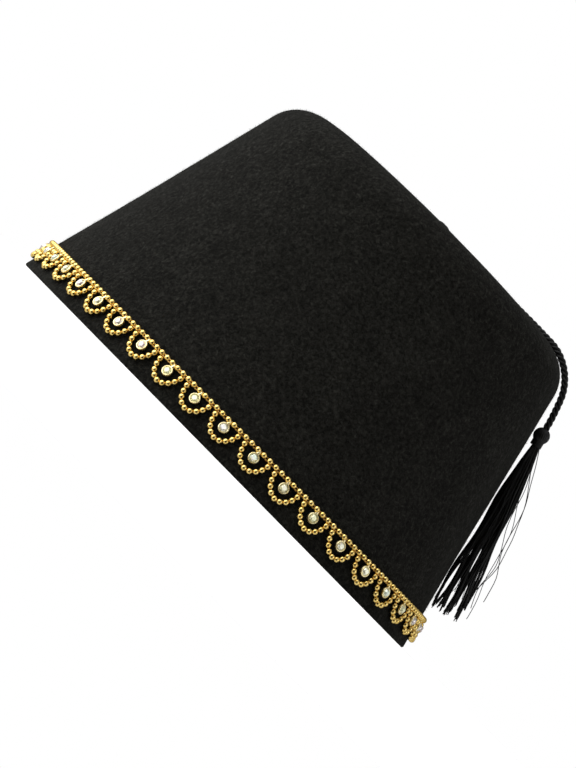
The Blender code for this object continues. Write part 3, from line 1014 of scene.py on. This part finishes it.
def strand_tree(finish):
    """Fine strands round each guide: spread, wandering, of uneven length, with real tips."""
    tree, sizes = geometry_tree("tassel strands", (
        ("Strands on each guide", "Int"), ("Strand width", "Float"), ("Wander", "Float"), ("Seed", "Int"),
    ))
    guides = node(tree, "GeometryNodeMeshToCurve", {"Mesh": sizes["Geometry"]})
    copies = {"Geometry": guides, "Amount": sizes["Strands on each guide"]}
    many = node(tree, "GeometryNodeDuplicateElements", copies, domain="SPLINE").outputs["Geometry"]
    index = node(tree, "GeometryNodeInputIndex")
    drawn = chance(tree, (-1.0, -1.0, -1.0), (1.0, 1.0, 1.0), sizes["Seed"], ID=index)
    kept = store(tree, many, "chance", drawn, "FLOAT_VECTOR", "CURVE")
    own = named(tree, "chance")
    ratios = node(tree, "ShaderNodeSeparateXYZ", {0: own})
    sideways = vector_maths(tree, "SCALE", named(tree, "across"), ratios.outputs["X"])
    outwards = vector_maths(tree, "SCALE", named(tree, "out"), ratios.outputs["Y"])
    offset = vector_maths(tree, "SCALE", vector_maths(tree, "ADD", sideways, outwards), named(tree, "width", "FLOAT"))
    place = node(tree, "GeometryNodeInputPosition")
    sample = vector_maths(tree, "ADD", place, vector_maths(tree, "SCALE", own, 0.35))
    drift = node(tree, "ShaderNodeTexNoise", {"Vector": sample, "Scale": 55.0, "Detail": 1.0})
    centred = vector_maths(tree, "SUBTRACT", drift.outputs["Color"], (0.5, 0.5, 0.5))
    share = node(tree, "GeometryNodeSplineParameter").outputs["Factor"]
    wander = vector_maths(tree, "SCALE", centred, maths(tree, "MULTIPLY", share, sizes["Wander"]))
    moved = vector_maths(tree, "ADD", offset, wander)
    laid = node(tree, "GeometryNodeSetPosition", {"Geometry": kept, "Offset": moved})
    tip = chance(tree, 0.94, 1.0, sizes["Seed"])
    cut = node(tree, "GeometryNodeTrimCurve", {"Curve": laid, "End": tip}, mode="FACTOR")
    radius = maths(tree, "MULTIPLY", sizes["Strand width"], 0.5)
    section = node(tree, "GeometryNodeCurvePrimitiveCircle", {"Resolution": 4, "Radius": radius})
    strands = node(tree, "GeometryNodeCurveToMesh", {"Curve": cut, "Profile Curve": section, "Fill Caps": True})
    end_tree(tree, strands, finish)
    return tree


def make_strands(finish):
    """The skirt of clumped strands, and a few strays that bow out of it."""
    tree = strand_tree(finish)
    clumps = []
    for clump in range(CLUMP_SHEETS * CLUMPS_PER_SHEET):
        sheet, column = divmod(clump, CLUMPS_PER_SHEET)
        row_start = (CLUMPS_PER_SHEET - 1.5 + sheet % 2) / 2
        aside = (column - row_start) * CLUMP_SPACING + 0.0010 * math.sin(clump * 2.1)
        lift = TASSEL_DEPTH / 2 + (sheet - (CLUMP_SHEETS - 1) / 2) * SHEET_SPACING - 0.087 * aside
        length = 0.965 + 0.035 * math.cos(clump * 2.3)
        bulge = 0.0003 * math.sin(sheet * 5.3) - 0.0002 * column
        lean = 0.0012 * math.cos(clump * 4.1)
        clumps.append(strand_guide(aside, lift, length, bulge, lean, 0.00055, sheet * 2.7 + column * 0.35))
    strays = [strand_guide(*stray) for stray in STRAYS]
    _, up, out = side_axes(TASSEL_AZIMUTH, CROWN_HEIGHT / 2)
    across = up.cross(out)
    for name, guides, count, thickness, wander, seed in (
        ("tassel_strands", clumps, STRANDS_PER_CLUMP, STRAND_WIDTH, 0.0010, 11),
        ("stray_strands", strays, 1, STRAY_WIDTH, 0.0050, 13),
    ):
        points = sum(len(path) for path in guides)
        guide = guide_object(
            name, guides, vectors={"across": [across] * points, "out": [out] * points},
            values={"width": np.tile(clump_widths(), len(guides))},
        )
        piece = grow(name, guide, tree, {
            "Strands on each guide": count, "Strand width": thickness, "Wander": wander, "Seed": seed,
        }, finish)
        dress(piece, "cord", "tassel")


# Studio

def camera_axes(tilt):
    """Unit vectors right, up and back of the unrolled camera."""
    away = Vector((math.sin(CAMERA_AZIMUTH), -math.cos(CAMERA_AZIMUTH), 0.0))
    back = away * math.cos(tilt) + Vector((0.0, 0.0, math.sin(tilt)))
    right = Vector((0.0, 0.0, 1.0)).cross(back).normalized()
    return right, back.cross(right), back


def make_camera():
    """The photo's camera, low over the floor, rolled so that the hat leans as it does there."""
    middle = Vector((0.0, 0.0, CROWN_HEIGHT / 2))
    tilt = math.asin((CAMERA_HEIGHT - middle.z) / CAMERA_DISTANCE)
    right, up, back = camera_axes(tilt)
    rolled_right = right * math.cos(CAMERA_ROLL) + up * math.sin(CAMERA_ROLL)
    rolled_up = up * math.cos(CAMERA_ROLL) - right * math.sin(CAMERA_ROLL)
    pixel = CAMERA_DISTANCE * CAMERA_SENSOR / CAMERA_LENS / max(PICTURE)
    across = (HAT_PIXEL[0] - PICTURE[0] / 2) * pixel
    above = (PICTURE[1] / 2 - HAT_PIXEL[1]) * pixel
    spot = middle + back * CAMERA_DISTANCE - rolled_right * across - rolled_up * above
    data = bpy.data.cameras.new("photo_camera")
    data.lens = CAMERA_LENS
    data.sensor_width = CAMERA_SENSOR
    data.clip_start, data.clip_end = 0.05, 30.0
    camera = bpy.data.objects.new("photo_camera", data)
    camera.matrix_world = Matrix([
        (*axis, 0.0) for axis in (rolled_right, rolled_up, back)
    ] + [(*spot, 1.0)]).transposed()
    bpy.context.scene.collection.objects.link(camera)
    bpy.context.scene.camera = camera


def make_sun(name, azimuth, elevation, strength, spread):
    """Soft studio light from far off, given by its bearing as the camera's is."""
    data = bpy.data.lights.new(name, "SUN")
    data.energy, data.angle = strength, math.radians(spread)
    light = bpy.data.objects.new(name, data)
    turn, rise = math.radians(azimuth), math.radians(elevation)
    towards = Vector((math.sin(turn) * math.cos(rise), -math.cos(turn) * math.cos(rise), math.sin(rise)))
    light.rotation_euler = towards.to_track_quat("Z", "Y").to_euler()
    bpy.context.scene.collection.objects.link(light)


def make_world():
    """White to the eye; what shines on the hat is dark behind the camera, and dimmer to its right and overhead."""
    world = bpy.data.worlds.new("studio")
    world.use_nodes = True
    bpy.context.scene.world = world
    tree = world.node_tree
    tree.nodes.clear()
    direction = node(tree, "ShaderNodeTexCoord").outputs["Generated"]
    right, _, back = camera_axes(0.0)
    toward = vector_maths(tree, "DOT_PRODUCT", direction, back).outputs["Value"]
    dark_side = ramp(tree, remap(tree, toward, (-1.0, 1.0), (0.0, 1.0)), (
        (0.00, (0.25, 0.25, 0.25)),
        (0.20, (0.50, 0.50, 0.50)),
        (0.45, (0.85, 0.85, 0.85)),
        (0.72, (1.05, 1.05, 1.04)),
        (0.83, (0.85, 0.85, 0.83)),
        (0.895, (0.055, 0.040, 0.018)),
    ))
    aside = vector_maths(tree, "DOT_PRODUCT", direction, right).outputs["Value"]
    height = node(tree, "ShaderNodeSeparateXYZ", {0: direction}).outputs["Z"]
    dimming = remap(tree, aside, (-0.8, 0.8), (1.05, 0.80))
    ceiling = remap(tree, height, (0.2, 0.9), (1.0, 0.6))
    shone = vector_maths(tree, "SCALE", dark_side, maths(tree, "MULTIPLY", dimming, ceiling))
    ray = node(tree, "ShaderNodeLightPath").outputs["Is Camera Ray"]
    colour = node(tree, "ShaderNodeMix", {"Factor": ray, "A": shone, "B": (1.0, 1.0, 1.0, 1.0)}, data_type="RGBA")
    sky = node(tree, "ShaderNodeBackground", {"Color": colour.outputs[2], "Strength": 1.0})
    node(tree, "ShaderNodeOutputWorld", {"Surface": sky})


def make_floor():
    build = bmesh.new()
    bmesh.ops.create_circle(build, cap_ends=True, segments=96, radius=9.0)
    floor = shape_object("studio_floor", build)
    floor.data.materials.append(floor_finish())
    floor.visible_glossy = False


def make_studio():
    bpy.context.scene.view_settings.view_transform = "Standard"
    make_world()
    make_floor()
    make_sun("key_light", -125, 32, 3.4, 85)
    make_sun("fill_light", 30, 22, 0.28, 26)


def make_hat():
    cord = cord_finish()
    thread = thread_tree("threads", cord)
    make_cord(thread, cord)
    shell = make_felt(felt_finish())
    fibre, loose = fibre_shape(), fuzz_finish()
    guide = mesh_object("fuzz_guide", shell.data.copy())
    strewn = {"Fibre": fibre, "Fibres per area": FIBRES_PER_AREA, "Seed": 17}
    fuzz = grow("felt_fuzz", guide, fuzz_tree(loose), strewn, loose)
    bpy.data.objects.remove(fibre, do_unlink=True)
    dress(shell, "felt", "felt_crown")
    dress(fuzz, "felt")
    make_trim()
    make_knot(thread, cord)
    make_tassel_head(thread, cord)
    make_strands(cord)


make_camera()
make_studio()
make_hat()
